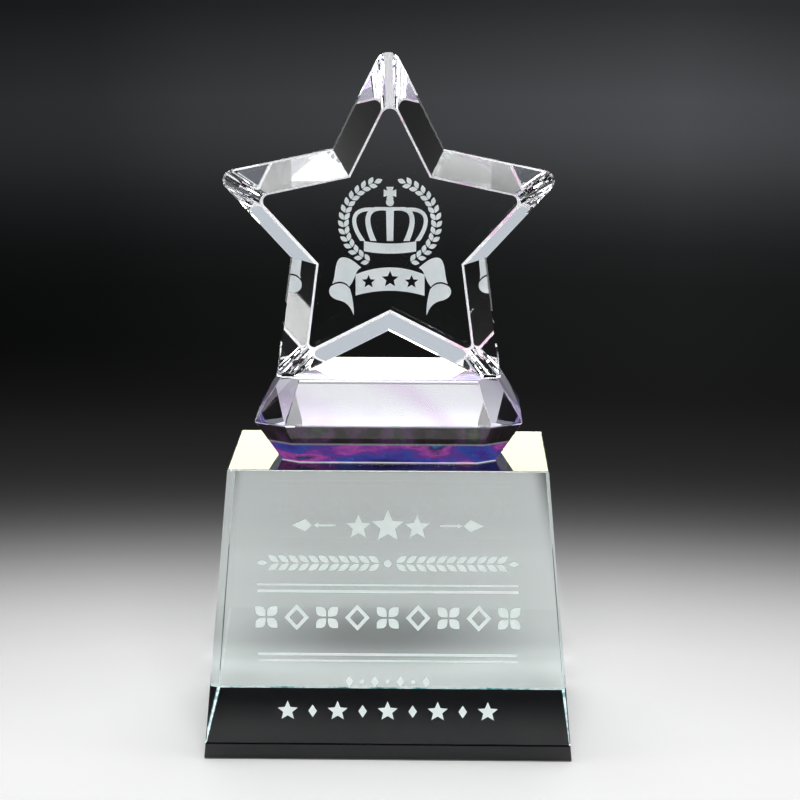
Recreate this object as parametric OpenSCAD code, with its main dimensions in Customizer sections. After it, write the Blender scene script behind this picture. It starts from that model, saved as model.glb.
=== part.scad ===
// Star trophy: a thick crystal star on a bevelled plinth, a tapered block and a black base plate.
// Millimetres, +Z up, the front faces -Y, and the origin is the middle of the underside.

/* [Tapered block] */
// Width at the underside
base_w = 130; // [110:1:150]
// Depth at the underside
base_d = 71; // [60:1:90]
// Width of the block's top face
block_top_w = 111; // [104:1:124]
// Depth of the block's top face
block_top_d = 52; // [51:1:60]
// Height of the block with its base plate
block_h = 104; // [90:1:120]
// Thickness of the black base plate
plate_t = 6; // [4:0.5:10]

/* [Plinth] */
// Height of the plinth
plinth_h = 30; // [24:1:36]
// Width of the plinth's top and bottom faces
plinth_w = 75; // [70:1:82]
// Depth of the plinth's top and bottom faces
plinth_d = 34; // [32:1:38]
// How far the belt stands out past the top and bottom faces at each side
belt_side = 9; // [5:0.5:10]
// How far the belt stands out past the top and bottom faces at front and back
belt_front = 7.5; // [4:0.5:8]
// Half-breadth of the top face across its cut corners
corner_half = 30.2; // [29:0.1:31]
// How far the belt stands out at the cut corners
belt_corner = 8.8; // [5:0.1:9]
// Angle of the corner cuts from straight ahead
corner_angle = 30; // [25:1:35]

/* [Star] */
// Thickness of the star, front to back
star_t = 33; // [24:0.5:36]
// How far the star's front face lies in front of the middle
star_front = 14.25; // [12:0.25:16]
// Rounding radius of the top point
top_r = 4.4; // [3:0.1:5]
// Rounding radius of the side points
side_r = 3.6; // [2.5:0.1:4.5]
// Rounding radius of the feet
foot_r = 2.6; // [2:0.1:3]
// Rounding radius of the points at the rear face, as a share of the front one
rear_share = 0.77; // [0.6:0.01:0.9]
// Width of the polished edge at the front and rear faces
polish = 0.6; // [0.3:0.1:1]

/* [Frosted artwork] */
// Thickness of the frosted layer
frost_t = 0.2; // [0.1:0.05:0.4]
// Leaf pairs on each laurel branch
leaf_pairs = 14; // [8:1:16]
// Width of the crown's band
crown_w = 18.4; // [14:0.2:20]
// Width of the rules on the block
rule_w = 91; // [60:1:96]
// Thickness of one rule
rule_t = 0.9; // [0.5:0.1:1.5]
// Distance between the two lines of a double rule
rule_gap = 2.3; // [1.8:0.1:4]

/* [Bonds and film] */
// Thickness of one adhesive film
bond_t = 0.2; // [0.1:0.05:0.3]
// Thickness of the iridescent film
film_t = 0.2; // [0.1:0.05:0.3]

/* [Hidden] */
$fn = 48;

// Levels
plinth_z = block_h + bond_t + film_t;
star_z = block_h + plinth_h;
block_taper = (base_w - block_top_w) / 2 / block_h;
depth_taper = (base_d - block_top_d) / 2 / block_h;

// The star's front outline, as the sharp corners of its right half, measured from the plinth's top face.
// Each entry is [x, z, rounding radius]: top point, shoulder, side point, waist, foot and crotch.
star_half = [[0, 117, top_r], [18.9, 79.5, 0], [59.5, 70.8, side_r],
             [33.5, 42.3, 0], [39.4, -3.5, foot_r], [0, 16.7, 0]];
// How far each wall has come inward at the rear face, from the top point round to the crotch.
// Its front and rear edges stay parallel, so every wall is flat.
wall_inset = [9.6, 13, 1.3, 8.4, 2];
tip_steps = 12;
hub_z = 52;

// Artwork places on the star's rear face, measured from the plinth's top face
crown_z = 40;
laurel_z = 50.5;
laurel_half_w = 16.2;
laurel_half_h = 15.2;
ribbon_z = 29;

// Artwork heights on the block's front face
title_z = 84.6;
sprig_z = 71.2;
rule_upper_z = 62.3;
lozenge_z = 51.8;
rule_lower_z = 37.4;
date_z = 28.8;
band_z = 18;

function width_at(z) = base_w - 2 * block_taper * z;
function depth_at(z) = base_d - 2 * depth_taper * z;

// A slice of the tapered block between two heights
module block_slice(z0, z1) {
    intersection() {
        rotate([90, 0, 0])
            linear_extrude(height = base_d + 2, center = true)
                polygon([[-width_at(z0) / 2, z0], [width_at(z0) / 2, z0],
                         [width_at(z1) / 2, z1], [-width_at(z1) / 2, z1]]);
        rotate([90, 0, 90])
            linear_extrude(height = base_w + 2, center = true)
                polygon([[-depth_at(z0) / 2, z0], [depth_at(z0) / 2, z0],
                         [depth_at(z1) / 2, z1], [-depth_at(z1) / 2, z1]]);
    }
}

// A prism whose section is the plinth's side profile, turned about Z
module belt_prism(half, bulge, turn, z0) {
    mid = z0 + (star_z - z0) / 2;
    rotate([0, 0, turn])
        rotate([90, 0, 0])
            linear_extrude(height = 200, center = true)
                polygon([[-half, z0], [half, z0], [half + bulge, mid],
                         [half, star_z], [-half, star_z], [-half - bulge, mid]]);
}

// The full plinth shape, from a given underside level
module plinth_shape(z0) {
    intersection() {
        belt_prism(plinth_w / 2, belt_side, 0, z0);
        belt_prism(plinth_d / 2, belt_front, 90, z0);
        belt_prism(corner_half, belt_corner, 90 + corner_angle, z0);
        belt_prism(corner_half, belt_corner, 90 - corner_angle, z0);
    }
}

// Both halves of a star outline, clockwise from the top point
function mirror_half(h) = concat(h, [for (i = [4:-1:1]) [-h[i][0], h[i][1], h[i][2]]]);

// The inset of the wall that starts at outline corner i
function wall_of(i) = wall_inset[i < 5 ? i : 9 - i];

function unit(v) = v / norm(v);

// Points that round corner b between a and c with radius r
function corner_arc(a, b, c, r) =
    let (u = unit(a - b), v = unit(c - b), half = acos(u * v) / 2,
         m = unit(u + v), centre = b + m * r / sin(half),
         turn = 90 - half, side = sign(u[1] * v[0] - u[0] * v[1]),
         out = atan2(-m[1], -m[0]))
    [for (k = [0:tip_steps]) let (a = out - side * turn * (1 - 2 * k / tip_steps))
        centre + r * [cos(a), sin(a)]];

// A star outline with its points rounded: depth goes from 0 at the front to 1 at the rear, and inset
// pulls the whole outline further inward
function star_ring(depth, inset) =
    let (pts = mirror_half(star_half), n = len(pts),
         xy = [for (p = pts) [p[0], p[1]]], share = 1 - depth * (1 - rear_share))
    [for (i = [0:n - 1])
        let (a = xy[(i + n - 1) % n], b = xy[i], c = xy[(i + 1) % n],
             na = unit([(b - a)[1], -(b - a)[0]]), nc = unit([(c - b)[1], -(c - b)[0]]),
             da = depth * wall_of((i + n - 1) % n) + inset, dc = depth * wall_of(i) + inset,
             q = b + [da * nc[1] - dc * na[1], na[0] * dc - nc[0] * da] / (na[0] * nc[1] - na[1] * nc[0]),
             r = pts[i][2] * share - inset * 0.6)
        each (pts[i][2] > 0 ? corner_arc(q + (a - b), q, q + (c - b), r) : [q])];

// One closed skin through a list of equal rings, each [outline, y], its ends fanned out from height hub_z
module ring_skin(rings, hub_z) {
    n = len(rings[0][0]);
    last = len(rings) - 1;
    hub = n * len(rings);
    points = concat([for (ring = rings) for (p = ring[0]) [p[0], ring[1], p[1]]],
                    [[0, rings[0][1], hub_z], [0, rings[last][1], hub_z]]);
    sides = [for (k = [0:last - 1]) for (i = [0:n - 1])
        let (j = (i + 1) % n)
        each [[k * n + i, (k + 1) * n + i, (k + 1) * n + j], [k * n + i, (k + 1) * n + j, k * n + j]]];
    front = [for (i = [0:n - 1]) [hub, i, (i + 1) % n]];
    rear = [for (i = [0:n - 1]) [hub + 1, last * n + (i + 1) % n, last * n + i]];
    polyhedron(points = points, faces = concat(front, sides, rear), convexity = 8);
}

// The frosted layer behind the star's rear face
module on_star() {
    translate([0, star_t - star_front + frost_t, star_z])
        rotate([90, 0, 0])
            linear_extrude(height = frost_t)
                children();
}

// The frosted layer on the block's sloping front face, at height z above the underside
module on_block(z) {
    slope = atan(depth_taper);
    translate([0, -depth_at(z) / 2, z])
        rotate([90 - slope, 0, 0])
            linear_extrude(height = frost_t)
                children();
}

// Eight corners of the plinth's top and bottom faces
function plinth_outline() =
    let (hw = plinth_w / 2, hd = plinth_d / 2,
         cx = (corner_half - hd * cos(corner_angle)) / sin(corner_angle),
         cy = (corner_half - hw * sin(corner_angle)) / cos(corner_angle))
    [[cx, -hd], [hw, -cy], [hw, cy], [cx, hd], [-cx, hd], [-hw, cy], [-hw, -cy], [-cx, -hd]];

// A thin layer with the plinth's outline
module plinth_layer(z0, t) {
    translate([0, 0, z0])
        linear_extrude(height = t)
            polygon(plinth_outline());
}

// One point of a cubic curve
function curve_point(p, t) =
    pow(1 - t, 3) * p[0] + 3 * t * pow(1 - t, 2) * p[1] + 3 * t * t * (1 - t) * p[2] + pow(t, 3) * p[3];

// Points along a cubic curve
function curve(p, steps = 12) = [for (k = [0:steps]) curve_point(p, k / steps)];

// A line of changing width along a cubic curve
module stroke(p, w0, w1, steps = 14) {
    pts = curve(p, steps);
    side = [for (k = [0:steps])
        let (a = pts[max(k - 1, 0)], b = pts[min(k + 1, steps)], d = unit(b - a),
             w = (w0 + (w1 - w0) * k / steps) / 2)
        [pts[k] + w * [-d[1], d[0]], pts[k] - w * [-d[1], d[0]]]];
    polygon(concat([for (s = side) s[0]], [for (k = [steps:-1:0]) side[k][1]]));
}

// A pointed leaf along +X from its stem end
module leaf(length, width) {
    steps = 6;
    upper = [for (k = [0:steps]) [length * k / steps, width / 2 * sin(180 * k / steps)]];
    lower = [for (k = [steps - 1:-1:1]) [length * k / steps, -width / 2 * sin(180 * k / steps)]];
    polygon(concat(upper, lower));
}

// A flat five-pointed star with one point up
module flat_star(r) {
    polygon([for (k = [0:9]) let (q = k % 2 == 0 ? r : r * 0.45) q * [sin(36 * k), cos(36 * k)]]);
}

// A flat lozenge
module lozenge(w, h) {
    polygon([[-w / 2, 0], [0, -h / 2], [w / 2, 0], [0, h / 2]]);
}

// The laurel branch on the right-hand side
module laurel_branch() {
    leaf_l = 3.1;
    leaf_w = 1.7;
    spread = 33;
    low = -64;
    high = 62;
    for (k = [0:leaf_pairs - 1]) {
        a = low + (high - low) * k / (leaf_pairs - 1);
        heading = atan2(laurel_half_h * cos(a), -laurel_half_w * sin(a));
        translate([laurel_half_w * cos(a), laurel_z + laurel_half_h * sin(a)])
            for (s = [-1, 1])
                rotate(heading + s * spread)
                    translate([0.25, 0])
                        leaf(leaf_l, leaf_w);
    }
    tip = high + 5;
    translate([laurel_half_w * cos(tip), laurel_z + laurel_half_h * sin(tip)])
        rotate(atan2(laurel_half_h * cos(tip), -laurel_half_w * sin(tip)))
            translate([0.9, 0])
                leaf(leaf_l, leaf_w);
}

// The ribbon's folded end on the right-hand side: an upper lobe and a lower lobe with its tail
module ribbon_end() {
    fold = [[14.4, 27.9], [16, 30], [18.4, 30.1], [20.4, 28.9]];
    upper = concat(curve(fold),
                   curve([[20.4, 29.1], [19, 31.5], [19.9, 38.4], [16.6, 38.4]]),
                   curve([[16.4, 38.4], [14.2, 38.4], [12.2, 36.6], [10.2, 34.8]]),
                   curve([[10.4, 34.6], [12.4, 33.6], [12.2, 30.6], [14.3, 28.1]]));
    lower = concat(curve([for (p = fold) p - [0, 0.6]]),
                   curve([[20.8, 28.1], [22.2, 26.6], [21.8, 24.2], [19, 23.2]]),
                   curve([[18.8, 23.1], [15.6, 22.6], [14.2, 21], [12.9, 17.6]]),
                   curve([[12.9, 17.9], [12.8, 21], [13.4, 24.6], [14.2, 27.1]]));
    polygon(upper);
    polygon(lower);
}

// Half the crown's arches, right of the middle
module crown_half() {
    stroke([[8.3, 2.6], [14.6, 10.2], [14.2, 16.4], [5.4, 15.4]], 1.5, 1.3);
    stroke([[5, 2.6], [9.4, 11.4], [9.2, 17.4], [0, 15.5]], 2, 1.4);
}

module base_plate() {
    color([0.05, 0.05, 0.06]) block_slice(0, plate_t);
}

module base_bond() {
    color([0.1, 0.1, 0.12]) block_slice(plate_t, plate_t + bond_t);
}

module block_crystal() {
    color([0.75, 0.85, 0.82]) block_slice(plate_t + bond_t, block_h);
}

module plinth_bond() {
    color([0.9, 0.9, 0.85]) plinth_layer(block_h, bond_t);
}

module dichroic_film() {
    color([0.45, 0.3, 0.75]) plinth_layer(block_h + bond_t, film_t);
}

module plinth_crystal() {
    color([0.85, 0.88, 0.95]) plinth_shape(plinth_z);
}

// The adhesive pad under one foot, on the side s of the middle
module foot_bond(s) {
    foot_x = 35.2;
    pad = [4.4, 6];
    color([0.9, 0.9, 0.85])
        translate([s * foot_x, -star_front + pad[1] / 2 + polish, star_z + bond_t / 2])
            cube([pad[0], pad[1], bond_t], center = true);
}

module foot_bond_left() {
    foot_bond(-1);
}

module foot_bond_right() {
    foot_bond(1);
}

module star_crystal() {
    big = 200;
    color([0.86, 0.9, 0.94])
        intersection() {
            translate([0, 0, star_z])
                ring_skin([[star_ring(0, polish), -star_front],
                           [star_ring(0, 0), -star_front + polish],
                           [star_ring(1, 0), star_t - star_front - polish],
                           [star_ring(1, polish), star_t - star_front]], hub_z);
            translate([-big / 2, -big / 2, star_z + bond_t]) cube(big);
        }
}

module crown_band() {
    band_h = 3.6;
    color("white") on_star() translate([0, crown_z])
        polygon(concat(curve([[-crown_w / 2, 0.6], [-crown_w / 6, -0.5], [crown_w / 6, -0.5], [crown_w / 2, 0.6]]),
                       curve([[crown_w / 2, band_h + 0.6], [crown_w / 6, band_h - 0.5],
                              [-crown_w / 6, band_h - 0.5], [-crown_w / 2, band_h + 0.6]])));
}

module crown_arches() {
    cut = 4.3;
    color("white") on_star() translate([0, crown_z])
        intersection() {
            union() {
                crown_half();
                mirror([1, 0]) crown_half();
                stroke([[0, 2], [0, 6], [0, 12], [0, 16.2]], 2.2, 2.8);
            }
            translate([-20, cut]) square([40, 12]);
        }
}

module crown_cross() {
    orb_y = 18;
    orb_r = 1.4;
    cross_y = 21.2;
    color("white") on_star() translate([0, crown_z]) {
        translate([0, orb_y]) circle(r = orb_r);
        for (a = [0:90:270])
            translate([0, cross_y])
                rotate(a)
                    polygon([[-0.5, -0.5], [0.5, -0.5], [1.3, 2.2], [-1.3, 2.2]]);
    }
}

module laurel_left() {
    color("white") on_star() mirror([1, 0]) laurel_branch();
}

module laurel_right() {
    color("white") on_star() laurel_branch();
}

module ribbon_left() {
    color("white") on_star() mirror([1, 0]) ribbon_end();
}

module ribbon_right() {
    color("white") on_star() ribbon_end();
}

module ribbon_band() {
    half_w = 12.2;
    band_h = 8.6;
    rise = 2.4;
    star_step = 7.6;
    color("white") on_star() translate([0, ribbon_z - band_h / 2])
        difference() {
            polygon(concat(curve([[-half_w, 0], [-half_w / 3, rise], [half_w / 3, rise], [half_w, 0]]),
                           curve([[half_w, band_h - 1], [half_w / 3, band_h + rise],
                                  [-half_w / 3, band_h + rise], [-half_w, band_h - 1]])));
            for (k = [-1:1])
                translate([k * star_step, band_h / 2 + (k == 0 ? 1.6 : 0.7)])
                    flat_star(k == 0 ? 3.1 : 2.5);
        }
}

// A double rule, its thicker line on the given side of its middle
module double_rule(thick_side) {
    for (s = [-1, 1]) {
        t = s == thick_side ? rule_t : rule_t * 0.7;
        translate([0, s * rule_gap / 2]) square([rule_w, t], center = true);
    }
}

module rule_upper() {
    color("white") on_block(rule_upper_z) double_rule(-1);
}

module rule_lower() {
    color("white") on_block(rule_lower_z) double_rule(1);
}

// A pointed finial that starts near the middle and points to +X
module finial() {
    start = 18.2;
    line_end = 25;
    head = [[24.2, 0.9], [25.8, 0], [24.2, -0.9]];
    kite = [[26.4, 0], [28.6, -2.1], [33.2, 0], [28.6, 2.1]];
    translate([start, -0.3]) square([line_end - start, 0.6]);
    polygon(head);
    polygon(kite);
}

module finial_left() {
    color("white") on_block(title_z) mirror([1, 0]) finial();
}

module finial_right() {
    color("white") on_block(title_z) finial();
}

module title_stars() {
    step = 10.2;
    color("white") on_block(title_z)
        for (k = [-1:1]) translate([k * step, k == 0 ? -0.3 : -0.6]) flat_star(k == 0 ? 5.8 : 4.4);
}

module sprig_row() {
    pairs = 11;
    step = 3.5;
    lean = 34;
    color("white") on_block(sprig_z)
        for (s = [-1, 1])
            mirror([s < 0 ? 1 : 0, 0]) {
                for (k = [0:pairs - 1])
                    translate([2.6 + k * step, 0])
                        for (t = [-1, 1]) rotate(t * lean) translate([0.4, 0]) leaf(4.4, 2);
                translate([3.4 + pairs * step, 0]) leaf(3.8, 1.7);
            }
    color("white") on_block(sprig_z) circle(r = 1.3);
}

// A rosette of four leaves
module rosette(r) {
    for (a = [0:90:270]) rotate(a + 45) translate([0.5, 0]) leaf(r - 0.5, r * 0.62);
}

module lozenge_row() {
    count = 9;
    step = 10.6;
    color("white") on_block(lozenge_z)
        for (k = [0:count - 1])
            translate([(k - (count - 1) / 2) * step, 0])
                if (k % 2 == 0) rosette(5.4);
                else difference() {
                    lozenge(8.6, 9.4);
                    lozenge(5.2, 5.8);
                }
}

module date_dots() {
    count = 7;
    step = 4.5;
    color("white") on_block(date_z)
        for (k = [0:count - 1])
            translate([(k - (count - 1) / 2) * step, 0])
                if (k % 2 == 0) lozenge(2.6, 4);
                else circle(r = 0.7);
}

module band_stars() {
    count = 9;
    step = 8.8;
    color("white") on_block(band_z)
        for (k = [0:count - 1])
            translate([(k - (count - 1) / 2) * step, 0])
                if (k % 2 == 0) flat_star(3.7);
                else lozenge(3, 4.6);
}

base_plate();
base_bond();
block_crystal();
plinth_bond();
dichroic_film();
plinth_crystal();
foot_bond_left();
foot_bond_right();
star_crystal();
crown_band();
crown_arches();
crown_cross();
laurel_left();
laurel_right();
ribbon_left();
ribbon_right();
ribbon_band();
rule_upper();
rule_lower();
finial_left();
finial_right();
title_stars();
sprig_row();
lozenge_row();
date_dots();
band_stars();
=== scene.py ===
"""Looks of the star trophy: polished crystal pieces, black base plate, iridescent film and frosted ornament."""

import math

import bmesh
import bpy
from mathutils import Euler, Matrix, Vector

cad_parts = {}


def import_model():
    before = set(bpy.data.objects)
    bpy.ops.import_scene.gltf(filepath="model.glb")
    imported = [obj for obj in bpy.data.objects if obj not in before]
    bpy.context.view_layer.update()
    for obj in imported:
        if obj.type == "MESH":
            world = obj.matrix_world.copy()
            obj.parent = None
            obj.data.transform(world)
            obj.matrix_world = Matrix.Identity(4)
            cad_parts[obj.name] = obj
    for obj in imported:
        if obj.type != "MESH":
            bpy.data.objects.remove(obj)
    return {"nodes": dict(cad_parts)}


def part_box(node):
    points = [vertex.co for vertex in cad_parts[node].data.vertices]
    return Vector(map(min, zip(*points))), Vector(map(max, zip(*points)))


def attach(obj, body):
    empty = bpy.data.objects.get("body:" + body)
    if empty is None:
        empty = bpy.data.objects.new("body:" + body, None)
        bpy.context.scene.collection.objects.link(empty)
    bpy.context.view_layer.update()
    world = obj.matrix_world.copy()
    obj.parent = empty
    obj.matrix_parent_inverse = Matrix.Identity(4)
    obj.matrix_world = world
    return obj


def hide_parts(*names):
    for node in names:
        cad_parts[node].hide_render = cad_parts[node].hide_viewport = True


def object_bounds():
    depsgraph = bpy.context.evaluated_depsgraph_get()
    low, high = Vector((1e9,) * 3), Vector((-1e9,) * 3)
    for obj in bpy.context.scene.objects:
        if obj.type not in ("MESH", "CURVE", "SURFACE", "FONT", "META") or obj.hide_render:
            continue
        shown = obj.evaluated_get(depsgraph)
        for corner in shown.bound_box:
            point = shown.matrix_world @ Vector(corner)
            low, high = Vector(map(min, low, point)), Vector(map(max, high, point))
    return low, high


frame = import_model()
cad_lo, cad_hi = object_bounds()
scene = bpy.context.scene
scene.view_settings.view_transform = "Standard"
# light crosses the crystal's walls many times before it leaves
scene.cycles.glossy_bounces = 16
scene.cycles.transmission_bounces = 24
scene.cycles.max_bounces = 24
MM = 0.001


# ---------------------------------------------------------------- node helpers
def new_material(name):
    mat = bpy.data.materials.new(name)
    mat.use_nodes = True
    mat.node_tree.nodes.clear()
    return mat, mat.node_tree


def add(tree, kind, props=None, **values):
    """A node with its properties and socket values set. A value that is a socket is linked."""
    n = tree.nodes.new(kind)
    for key, value in (props or {}).items():
        setattr(n, key, value)
    for key, value in values.items():
        sock = n.inputs[int(key[1:]) if key[0] == "i" and key[1:].isdigit() else key.replace("_", " ")]
        if isinstance(value, bpy.types.NodeSocket):
            tree.links.new(value, sock)
        else:
            sock.default_value = value
    return n


def ramp(tree, fac, stops, interpolation="LINEAR"):
    n = tree.nodes.new("ShaderNodeValToRGB")
    n.color_ramp.interpolation = interpolation
    while len(n.color_ramp.elements) < len(stops):
        n.color_ramp.elements.new(0.5)
    for e, (p, c) in zip(n.color_ramp.elements, stops):
        e.position = p
        e.color = (c, c, c, 1) if isinstance(c, (int, float)) else (*c, 1)
    tree.links.new(fac, n.inputs[0])
    return n.outputs[0]


def object_point(tree):
    return add(tree, "ShaderNodeTexCoord").outputs["Object"]


def noise(tree, scale, detail=2.0, vector=None):
    n = add(tree, "ShaderNodeTexNoise", Scale=scale, Detail=detail)
    tree.links.new(vector or object_point(tree), n.inputs["Vector"])
    return n.outputs[0]


def mix_colours(tree, share, first, second, blend="MIX"):
    """first where share is 0 and second where it is 1. Either may be a socket or a plain colour."""
    n = add(tree, "ShaderNodeMix", {"data_type": "RGBA", "blend_type": blend}, i0=share, i6=first, i7=second)
    return n.outputs[2]


def math_node(tree, operation, *values):
    return add(tree, "ShaderNodeMath", {"operation": operation},
               **{f"i{k}": v for k, v in enumerate(values)}).outputs[0]


def step_between(tree, value, start, end, low=0.0, high=1.0):
    """A soft step of value: low at start, high at end."""
    return add(tree, "ShaderNodeMapRange", {"interpolation_type": "SMOOTHSTEP"}, i0=value, i1=start, i2=end,
               i3=low, i4=high).outputs[0]


def glow(tree, bsdf, colour, strength):
    """Painted light: the surface gives off its colour as emission though it is no lamp, standing in for light
    gathered inside the crystal.
    """
    tree.links.new(colour, bsdf.inputs["Emission Color"])
    bsdf.inputs["Emission Strength"].default_value = strength


def finish_material(tree, surface, volume=None):
    out = tree.nodes.new("ShaderNodeOutputMaterial")
    tree.links.new(surface, out.inputs["Surface"])
    if volume:
        tree.links.new(volume, out.inputs["Volume"])


# ---------------------------------------------------------------- materials
def crystal(name, tint, density, faint):
    """Clear polished crystal: very slight cloudiness in its colour, and a tint that grows with depth."""
    mat, t = new_material(name)
    cloud = ramp(t, noise(t, 60, 3), [(0.35, faint), (0.65, (1, 1, 1))])
    bsdf = add(t, "ShaderNodeBsdfPrincipled", Base_Color=cloud, Roughness=0.0, IOR=1.52, Transmission_Weight=1.0)
    vol = add(t, "ShaderNodeVolumeAbsorption", Color=(*tint, 1), Density=density)
    finish_material(t, bsdf.outputs[0], vol.outputs[0])
    return mat


def black_crystal():
    mat, t = new_material("black_crystal")
    col = ramp(t, noise(t, 90, 4), [(0.3, (0.002, 0.002, 0.003)), (0.75, (0.007, 0.006, 0.009))])
    rough = ramp(t, noise(t, 240, 2), [(0.4, 0.02), (0.8, 0.07)])
    bsdf = add(t, "ShaderNodeBsdfPrincipled", Base_Color=col, Roughness=rough, IOR=1.5)
    finish_material(t, bsdf.outputs[0])
    return mat


def seam(hi):
    """Black adhesive with a painted highlight along its rear and side edges: a jagged white and cyan rim that
    also glows, standing in for light caught where the seam is slightly chipped.
    """
    mat, t = new_material("seam")
    p = add(t, "ShaderNodeSeparateXYZ", Vector=object_point(t))
    rim_jag = noise(t, 900, 4)
    edge_y = math_node(t, "MULTIPLY_ADD", rim_jag, 0.9 * MM, p.outputs[1])
    edge_x = math_node(t, "MULTIPLY_ADD", rim_jag, 0.7 * MM, math_node(t, "ABSOLUTE", p.outputs[0]))
    near = math_node(t, "MAXIMUM", math_node(t, "GREATER_THAN", edge_y, hi.y - 0.15 * MM),
                     math_node(t, "GREATER_THAN", edge_x, hi.x - 0.1 * MM))
    # painted highlight: white and cyan on the rim, also given off as glow
    glint = ramp(t, noise(t, 160, 3), [(0.35, (0.12, 0.3, 0.34)), (0.5, (0.75, 0.9, 0.92)),
                                       (0.7, (0.95, 0.97, 0.97))])
    rough = ramp(t, noise(t, 300, 2), [(0.3, 0.08), (0.8, 0.25)])
    bsdf = add(t, "ShaderNodeBsdfPrincipled", Base_Color=mix_colours(t, near, (0.004, 0.004, 0.006, 1), glint),
               Roughness=rough)
    bsdf.inputs["Specular IOR Level"].default_value = 0.0
    glow(t, bsdf, mix_colours(t, near, (0, 0, 0, 1), glint), 0.6)
    finish_material(t, bsdf.outputs[0])
    return mat


def painted_glint_edge():
    """Painted highlight on the block's lower edge: white with dark teal gaps, given off as glow though it is no
    lamp.
    """
    mat, t = new_material("painted_glint_edge")
    col = ramp(t, noise(t, 160, 3), [(0.34, (0.1, 0.35, 0.4)), (0.45, (0.7, 0.9, 0.93)),
                                     (0.6, (0.97, 0.98, 0.98))])
    bsdf = add(t, "ShaderNodeBsdfPrincipled", Base_Color=col, Roughness=0.4)
    glow(t, bsdf, col, 0.55)
    finish_material(t, bsdf.outputs[0])
    return mat


def film_and_painted_reflection(lo, hi):
    """The film seen through the lower facets, with the facets' reflections painted on: brown-black painted
    reflection above, and below a thin grey painted stripe the film's blue, purple and magenta; all of it also
    glows.
    """
    mat, t = new_material("film_edge_painted_reflection")
    p = object_point(t)
    z = add(t, "ShaderNodeSeparateXYZ", Vector=p).outputs[2]
    height = add(t, "ShaderNodeMapRange", i0=z, i1=lo, i2=hi).outputs[0]
    drift = noise(t, 42, 4, add(t, "ShaderNodeMapping", Vector=p, Scale=(1.0, 1.0, 3.0)).outputs[0])
    low = ramp(t, drift, [(0.3, (0.02, 0.03, 0.12)), (0.38, (0.1, 0.06, 0.4)), (0.44, (0.06, 0.12, 0.5)),
                          (0.5, (0.2, 0.07, 0.42)), (0.56, (0.55, 0.12, 0.5)), (0.62, (0.06, 0.06, 0.2)),
                          (0.68, (0.12, 0.3, 0.62)), (0.76, (0.6, 0.5, 0.75))])
    # painted reflection: dark brown-black marks on the upper half
    dark_reflection_marks = noise(t, 60, 3, add(t, "ShaderNodeMapping", Vector=p, Scale=(1.0, 1.0, 0.2)).outputs[0])
    high = ramp(t, dark_reflection_marks, [(0.3, (0.012, 0.01, 0.011)), (0.48, (0.035, 0.028, 0.03)),
                            (0.58, (0.09, 0.045, 0.1)), (0.66, (0.04, 0.06, 0.04)), (0.78, (0.12, 0.1, 0.1))])
    # a thin painted light grey stripe halfway up
    line = ramp(t, height, [(0.46, 0.0), (0.49, 1.0), (0.51, 1.0), (0.53, 0.0)])
    bands = mix_colours(t, step_between(t, height, 0.5, 0.53), low, high)
    col = mix_colours(t, line, bands, (0.34, 0.36, 0.38, 1))
    rough = ramp(t, noise(t, 200, 2, p), [(0.3, 0.2), (0.8, 0.35)])
    bsdf = add(t, "ShaderNodeBsdfPrincipled", Base_Color=col, Roughness=rough, Metallic=0.3)
    bsdf.inputs["Specular IOR Level"].default_value = 0.1
    glow(t, bsdf, col, 0.35)
    finish_material(t, bsdf.outputs[0])
    return mat


def ground_glass_and_highlight():
    """The narrow ground edge round the star's rear face, with a painted highlight: bright white with pink
    fringes, also given off as glow.
    """
    mat, t = new_material("ground_glass_and_highlight")
    col = ramp(t, noise(t, 70, 3), [(0.38, (0.95, 0.95, 0.96)), (0.6, (0.92, 0.92, 0.95)),
                                    (0.68, (0.9, 0.6, 0.78)), (0.75, (0.78, 0.68, 0.92))])
    rough = ramp(t, noise(t, 900, 2), [(0.3, 0.3), (0.8, 0.5)])
    bsdf = add(t, "ShaderNodeBsdfPrincipled", Base_Color=col, Roughness=rough)
    glow(t, bsdf, col, 0.4)
    finish_material(t, bsdf.outputs[0])
    return mat


def iridescent(name, level, strength):
    """Interference film: pale lavender with drifts of pink and violet. level is its depth of colour; strength is
    painted light, the film giving off its colour as glow though it is no lamp.
    """
    mat, t = new_material(name)
    p = object_point(t)
    wave = add(t, "ShaderNodeTexWave", {"wave_type": "BANDS", "bands_direction": "DIAGONAL"},
               Vector=p, Scale=16, Distortion=5, Detail=2)
    cloud = noise(t, 24, 3, p)
    mixed = math_node(t, "MULTIPLY_ADD", cloud, 0.5, math_node(t, "MULTIPLY_ADD", wave.outputs[1], 0.35, 0.1))
    stops = [(0.0, (0.86, 0.9, 0.99)), (0.45, (0.9, 0.9, 0.98)), (0.58, (0.84, 0.82, 0.97)),
             (0.66, (0.8, 0.66, 0.88)), (0.76, (0.62, 0.56, 0.92))]
    col = ramp(t, mixed, [(q, tuple(level * c for c in colour)) for q, colour in stops])
    rough = ramp(t, noise(t, 120, 2, p), [(0.3, 0.2), (0.8, 0.32)])
    bsdf = add(t, "ShaderNodeBsdfPrincipled", Base_Color=col, Roughness=rough, Metallic=0.5)
    glow(t, bsdf, col, strength)
    finish_material(t, bsdf.outputs[0])
    return mat


def adhesive():
    mat, t = new_material("adhesive")
    col = ramp(t, noise(t, 400, 3), [(0.3, (0.7, 0.74, 0.7)), (0.7, (0.9, 0.92, 0.88))])
    rough = ramp(t, noise(t, 700, 2), [(0.3, 0.1), (0.8, 0.3)])
    bsdf = add(t, "ShaderNodeBsdfPrincipled", Base_Color=col, Roughness=rough)
    finish_material(t, bsdf.outputs[0])
    return mat


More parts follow.
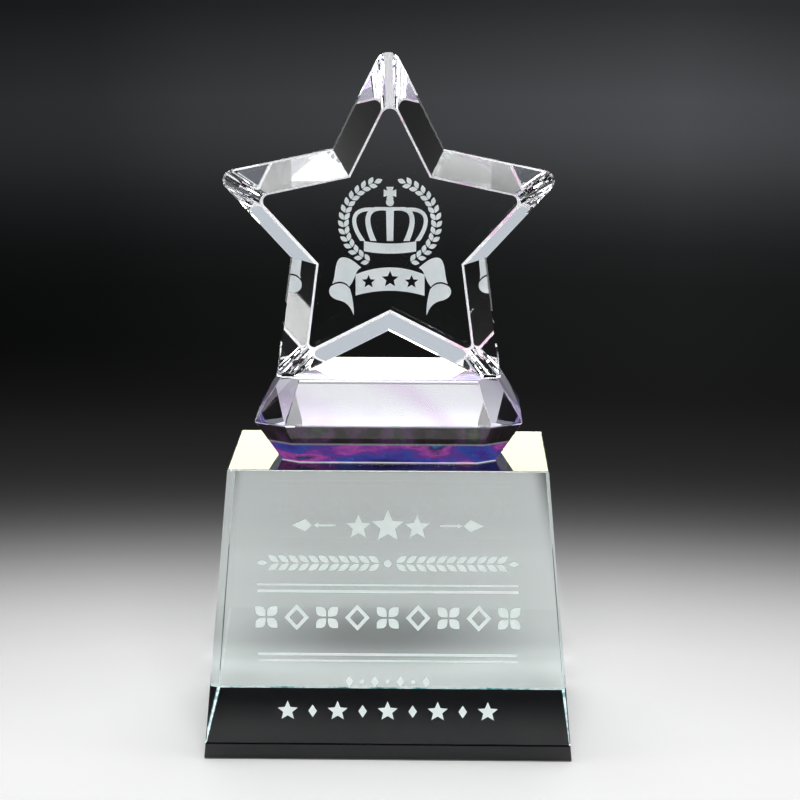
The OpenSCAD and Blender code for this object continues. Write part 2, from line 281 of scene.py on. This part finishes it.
def frost(name, low, high, pass_through, strength=0.0):
    """Etched surface: fine white grain that lets part of the light through. strength is painted light: the
    etching gives off its colour as glow.
    """
    mat, t = new_material(name)
    grain = noise(t, 2600, 3)
    both = math_node(t, "MULTIPLY_ADD", noise(t, 110, 2), 0.5, math_node(t, "MULTIPLY", grain, 0.5))
    col = ramp(t, both, [(0.35, low), (0.65, high)])
    bump = add(t, "ShaderNodeBump", Strength=0.25, Distance=0.05 * MM, Height=grain)
    bsdf = add(t, "ShaderNodeBsdfPrincipled", Base_Color=col, Roughness=0.85, Normal=bump.outputs[0])
    glow(t, bsdf, col, strength)
    through = add(t, "ShaderNodeBsdfTranslucent", Color=col, Normal=bump.outputs[0])
    mix = add(t, "ShaderNodeMixShader", i0=pass_through, i1=bsdf.outputs[0], i2=through.outputs[0])
    finish_material(t, mix.outputs[0])
    return mat


# ---------------------------------------------------------------- pieces
def new_object(name, bm, mat=None):
    """An object made from bm, which is freed."""
    me = bpy.data.meshes.new(name)
    bm.to_mesh(me)
    bm.free()
    if mat:
        me.materials.append(mat)
    obj = bpy.data.objects.new(name, me)
    scene.collection.objects.link(obj)
    return obj


def cad_mesh(node):
    """A welded copy of a CAD solid's mesh."""
    bm = bmesh.new()
    bm.from_mesh(frame["nodes"][node].data)
    bmesh.ops.remove_doubles(bm, verts=bm.verts, dist=1e-6)
    bm.normal_update()
    return bm


def polished(node, name, width, sink=0.0, keep_bottom=False):
    """A copy of a CAD solid with its sharp edges polished to narrow bevels. sink lowers its underside."""
    bm = cad_mesh(node)
    bmesh.ops.dissolve_limit(bm, angle_limit=math.radians(0.6), verts=bm.verts, edges=bm.edges)
    low = min(v.co.z for v in bm.verts)
    for v in bm.verts:
        if v.co.z < low + 1e-6:
            v.co.z -= sink
    low -= sink
    if width:
        edges = [e for e in bm.edges
                 if len(e.link_faces) == 2 and e.calc_face_angle(0) > math.radians(20)
                 and not (keep_bottom and all(v.co.z < low + 1e-6 for v in e.verts))]
        bmesh.ops.bevel(bm, geom=edges, offset=width, offset_type="OFFSET", segments=2, profile=0.5,
                        affect="EDGES", clamp_overlap=True)
    bmesh.ops.recalc_face_normals(bm, faces=bm.faces)
    obj = new_object(name, bm)
    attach(obj, "root")
    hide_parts(node)
    return obj


def seam_glint(hi):
    """A painted highlight: a thin glowing strip with a jagged top along the block's lower edge at its rear and
    sides, just inside the crystal.
    hi is the upper corner of the adhesive under the block."""
    x, y, z = hi.x - 0.6 * MM, hi.y - 0.6 * MM, hi.z + 0.04 * MM
    lean = 0.072 * MM
    steps = 110
    bm = bmesh.new()
    # each run: its two ends, and how much of its height is gone at the far end
    for a, b, fade in (((-x, y), (x, y), 0.0), ((-x, y), (-x, -y * 0.3), 1.0), ((x, y), (x, y * 0.1), 1.0)):
        row = []
        for k in range(steps + 1):
            s = k / steps
            jag = 0.5 + 0.28 * math.sin(37.0 * s) * math.sin(91.7 * s + 1.3) + 0.22 * math.sin(211.3 * s)
            h = (0.25 + 0.5 * jag) * (1 - fade * s) * MM
            px, py = a[0] + (b[0] - a[0]) * s, a[1] + (b[1] - a[1]) * s
            row.append((bm.verts.new((px, py, z)), bm.verts.new((px * (1 - 0.1 * h / x), py - lean, z + h))))
        for (p, q), (r, w) in zip(row, row[1:]):
            bm.faces.new((p, r, w, q))
    obj = new_object("seam_glint", bm, painted_glint_edge())
    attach(obj, "root")


def film_reflection_skirt(name, mat, keep, top):
    """The film where it runs up the plinth's lower facets to a share top of the plinth's height, just inside the
    crystal: sheets that carry painted reflection. keep says which facets, from their outward normals."""
    lo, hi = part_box("plinth_crystal")
    bm = cad_mesh("plinth_crystal")
    bmesh.ops.delete(bm, geom=[f for f in bm.faces if not (-0.9 < f.normal.z < -0.1 and keep(f.normal))],
                     context="FACES")
    bmesh.ops.bisect_plane(bm, geom=bm.verts[:] + bm.edges[:] + bm.faces[:], dist=1e-7,
                           plane_co=(0, 0, lo.z + (hi.z - lo.z) * top), plane_no=(0, 0, 1), clear_outer=True)
    shrink = 0.12 * MM
    for v in bm.verts:
        v.co.x -= math.copysign(shrink, v.co.x)
        v.co.y -= math.copysign(shrink, v.co.y)
    obj = new_object(name, bm, mat)
    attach(obj, "root")


def etched(node, mat, outward, inward):
    """The outer skin of a frosted CAD layer, set back towards the crystal by the distance inward."""
    side = Vector(outward)
    bm = cad_mesh(node)
    bmesh.ops.delete(bm, geom=[f for f in bm.faces if f.normal.dot(side) < 0.9], context="FACES")
    bmesh.ops.translate(bm, verts=bm.verts, vec=-side * inward)
    obj = new_object(node + "_etch", bm, mat)
    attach(obj, "root")
    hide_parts(node)


def coat(obj, mat):
    obj.data.materials.clear()
    obj.data.materials.append(mat)


star = polished("star_crystal", "star", 0)
coat(star, crystal("star_glass", (0.85, 0.92, 0.95), 1.0, (0.985, 0.99, 0.995)))
star.data.materials.append(ground_glass_and_highlight())
for face in star.data.polygons:  # the narrow slanted faces round the rear, which carry the painted highlight
    if 0.5 < face.normal.y < 0.97 and face.area < 60 * MM * MM:
        face.material_index = 1

plinth = polished("plinth_crystal", "plinth", 0.25 * MM, sink=0.08 * MM, keep_bottom=True)
coat(plinth, crystal("plinth_glass", (0.85, 0.88, 0.98), 1.5, (0.98, 0.98, 0.995)))

block = polished("block_crystal", "block", 0.35 * MM, sink=0.08 * MM, keep_bottom=True)
coat(block, crystal("block_glass", (0.55, 0.88, 0.82), 3.0, (0.975, 0.99, 0.985)))

plate = polished("base_plate", "plate", 0.45 * MM)
coat(plate, black_crystal())
plate.data.materials.append(frost("ground_edge_and_reflection", (0.16, 0.17, 0.17), (0.3, 0.32, 0.32), 0.0))
for face in plate.data.polygons:  # the lower bevel, ground and painted a light grey for the pale floor's reflection in it
    if -0.95 < face.normal.z < -0.2:
        face.material_index = 1

bond_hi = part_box("base_bond")[1]
seam_glint(bond_hi)
coat(frame["nodes"]["base_bond"], seam(bond_hi))
# the film glows at half strength: painted light on top of its reflections
coat(frame["nodes"]["dichroic_film"], iridescent("film", 1.0, 0.5))
plinth_lo, plinth_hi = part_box("plinth_crystal")
GIRDLE = 0.5  # the belt's height as a share of the plinth's
belt_z = plinth_lo.z + (plinth_hi.z - plinth_lo.z) * GIRDLE
# sheets inside the lower facets with painted reflection: brown-black and film colours at the front, and at the
# rear a lavender that is nearly all glow, a painted reflection of the softbox above
film_reflection_skirt("film_front_painted_reflection", film_and_painted_reflection(plinth_lo.z, belt_z), lambda n: n.y < 0.1, GIRDLE - 0.02)
film_reflection_skirt("film_rear_painted_reflection", iridescent("film_rear_painted_reflection", 0.1, 4.4), lambda n: n.y > 0.8, GIRDLE - 0.02)
glue = adhesive()
for n in ("plinth_bond", "foot_bond_left", "foot_bond_right"):
    coat(frame["nodes"][n], glue)

# the etchings glow faintly: painted light for the light that reaches them through the crystal
on_star = frost("frost_star", (0.74, 0.8, 0.82), (0.92, 0.95, 0.96), 0.5, 0.4)
on_block = frost("frost_block", (0.76, 0.86, 0.84), (0.92, 0.98, 0.96), 0.3, 0.35)
STAR_ART = ("crown_band", "crown_arches", "crown_cross", "laurel_left", "laurel_right",
            "ribbon_left", "ribbon_right", "ribbon_band")
BLOCK_ART = ("rule_upper", "rule_lower", "finial_left", "finial_right", "title_stars", "sprig_row",
             "lozenge_row", "date_dots", "band_stars")
for n in STAR_ART:
    etched(n, on_star, (0, 1, 0), 0.25 * MM)
for n in BLOCK_ART:
    etched(n, on_block, (0, -1, 0), 0.1 * MM)


# ---------------------------------------------------------------- floor, world and lights
def floor():
    """Graded studio paper with a painted pool of light: pale round the object, dark further out, and fading into
    the room.
    """
    bm = bmesh.new()
    bm.faces.new([bm.verts.new((1.5 * math.cos(a), 1.0 * math.sin(a), 0))
                  for a in (2 * math.pi * k / 96 for k in range(96))])
    mat, t = new_material("floor")
    obj = new_object("floor", bm, mat)
    p = add(t, "ShaderNodeSeparateXYZ", Vector=object_point(t))
    px, py = p.outputs[0], p.outputs[1]
    # distance from a point just in front of the object, with x counted by half
    flat = add(t, "ShaderNodeCombineXYZ", i0=math_node(t, "MULTIPLY", px, 0.5), i1=math_node(t, "ADD", py, 0.06))
    d = add(t, "ShaderNodeVectorMath", {"operation": "LENGTH"}, i0=flat.outputs[0]).outputs["Value"]
    reach = 0.6
    stops = [(0.0, 0.68), (0.08, 0.6), (0.141, 0.47), (0.176, 0.4), (0.214, 0.29), (0.255, 0.155),
             (0.301, 0.052), (0.35, 0.02), (0.405, 0.0115), (0.466, 0.0095), (0.54, 0.006)]
    painted_light_pool = ramp(t, math_node(t, "MULTIPLY", d, 1 / reach), [(q / reach, c) for q, c in stops], "B_SPLINE")
    # a painted pool of light straight behind the block, with the block's own soft shadow painted at its foot
    y0, y1 = 0.04, 0.32
    back = add(t, "ShaderNodeMapRange", i0=py, i1=y0, i2=y1)
    lit = [(0.052, 0.5), (0.062, 0.56), (0.07, 0.49), (0.082, 0.41), (0.098, 0.42), (0.115, 0.42),
           (0.133, 0.41), (0.152, 0.405), (0.172, 0.375), (0.193, 0.35), (0.215, 0.35), (0.238, 0.34),
           (0.27, 0.2), (0.32, 0.03)]
    painted_patch = ramp(t, back.outputs[0], [((q - y0) / (y1 - y0), c) for q, c in lit], "EASE")
    across = math_node(t, "ABSOLUTE", math_node(t, "MULTIPLY_ADD", py, 0.03, px))
    mask = math_node(t, "MULTIPLY", step_between(t, across, 0.078, 0.068), step_between(t, py, 0.038, 0.045))
    mask = math_node(t, "MULTIPLY", mask, step_between(t, py, 0.3, 0.25))
    # painted shadow: a soft dark oval on the patch, centre (-0.006, 0.086), half-axes 62 and 30 mm
    painted_shadow_spot = add(t, "ShaderNodeCombineXYZ", i0=math_node(t, "MULTIPLY_ADD", px, 1 / 0.062, 0.1),
               i1=math_node(t, "MULTIPLY_ADD", py, 1 / 0.03, -2.85))
    painted_shadow_spot = add(t, "ShaderNodeVectorMath", {"operation": "LENGTH"}, i0=painted_shadow_spot.outputs[0]).outputs["Value"]
    shade = mix_colours(t, 1.0, painted_patch, step_between(t, painted_shadow_spot, 0.1, 1.15, 0.48, 1.0), "MULTIPLY")
    both = mix_colours(t, mask, painted_light_pool, shade)
    # darker towards the front of the object, down to a fifth
    col = mix_colours(t, 1.0, both, step_between(t, py, -0.14, -0.07, 0.2, 1.0), "MULTIPLY")
    paper = add(t, "ShaderNodeBsdfDiffuse", Color=col, Roughness=0.6)
    fade = add(t, "ShaderNodeMixShader", i0=step_between(t, d, 0.4, 0.72), i1=paper.outputs[0],
               i2=add(t, "ShaderNodeBsdfTransparent").outputs[0])
    finish_material(t, fade.outputs[0])


def world():
    """Dark room with a faint glow low down."""
    w = bpy.data.worlds.new("room")
    scene.world = w
    w.use_nodes = True
    t = w.node_tree
    t.nodes.clear()
    p = add(t, "ShaderNodeSeparateXYZ", Vector=add(t, "ShaderNodeTexCoord").outputs["Generated"])
    low = add(t, "ShaderNodeMapRange", i0=p.outputs[2], i1=-0.25, i2=0.05)
    grey = ramp(t, low.outputs[0], [(0.0, (0.006, 0.0065, 0.006)), (0.19, (0.0075, 0.008, 0.008)),
                                    (0.25, (0.0103, 0.011, 0.0113)), (0.29, (0.015, 0.016, 0.0165)),
                                    (0.34, (0.0235, 0.025, 0.026)), (0.39, (0.036, 0.038, 0.041)),
                                    (0.44, (0.045, 0.047, 0.051)), (0.49, (0.0465, 0.049, 0.053)),
                                    (0.54, (0.038, 0.04, 0.043)), (0.64, (0.02, 0.021, 0.023)),
                                    (0.8, (0.014, 0.015, 0.016)), (1.0, (0.012, 0.012, 0.013))])
    side = add(t, "ShaderNodeMapRange", i0=p.outputs[0], i1=-0.25, i2=0.25)
    lean = ramp(t, side.outputs[0], [(0.0, 0.45), (0.16, 0.55), (0.26, 0.8), (0.5, 1.1), (0.74, 1.5),
                                     (0.85, 1.25), (1.0, 1.0)])
    col = mix_colours(t, 1.0, grey, lean, "MULTIPLY")
    bg = add(t, "ShaderNodeBackground", Color=col, Strength=1.0)
    out = t.nodes.new("ShaderNodeOutputWorld")
    t.links.new(bg.outputs[0], out.inputs[0])


def softbox(name, place, aim, size, radiance, tint=(1, 1, 1)):
    """A rectangular softbox of a given radiance, seen in reflections but not by the camera."""
    data = bpy.data.lights.new(name, "AREA")
    data.shape = "RECTANGLE"
    data.size, data.size_y = size
    data.energy = radiance * math.pi * size[0] * size[1]
    data.color = tint
    obj = bpy.data.objects.new(name, data)
    obj.location = place
    obj.rotation_euler = (Vector(aim) - Vector(place)).to_track_quat("-Z", "Y").to_euler()
    obj.visible_camera = False
    scene.collection.objects.link(obj)


floor()
world()
mid = tuple((cad_lo + cad_hi) / 2)
softbox("top", (0, 0.075, 1.15), (0, 0.075, 0), (0.95, 0.51), 7.0)
softbox("strip", (0, 1.15, 0.422), (0, 0, 0.12), (0.6, 0.07), 5.6, (1, 0.99, 0.68))
for s in (-1, 1):
    softbox("behind", (s * 0.5, 1.2, 0.53), (0, 0, 0.15), (0.6, 0.54), 0.65, (0.85, 0.92, 1))
    softbox("rim", (s * 0.72, 0.72, 0.8), (0, 0, 0.18), (0.85, 0.42), 3.0)
    softbox("side", (s * 0.95, -0.1, 0.45), mid, (0.35, 0.8), 2.5)
softbox("rear_top", (0, 0.75, 1.0), mid, (0.9, 0.3), 8.0)
softbox("front", (0.1, -1.1, 0.95), mid, (0.8, 0.5), 9.0)


# ---------------------------------------------------------------- camera
cam_data = bpy.data.cameras.new("camera")
cam_data.lens = 90
cam_data.sensor_width = 36
cam = bpy.data.objects.new("camera", cam_data)
cam.location = (0.0177, cad_lo.y - 0.652, cad_lo.z + 0.300)
cam.rotation_euler = Euler((math.radians(90 - 14.48), 0, math.radians(1.17)))
scene.collection.objects.link(cam)
scene.camera = cam
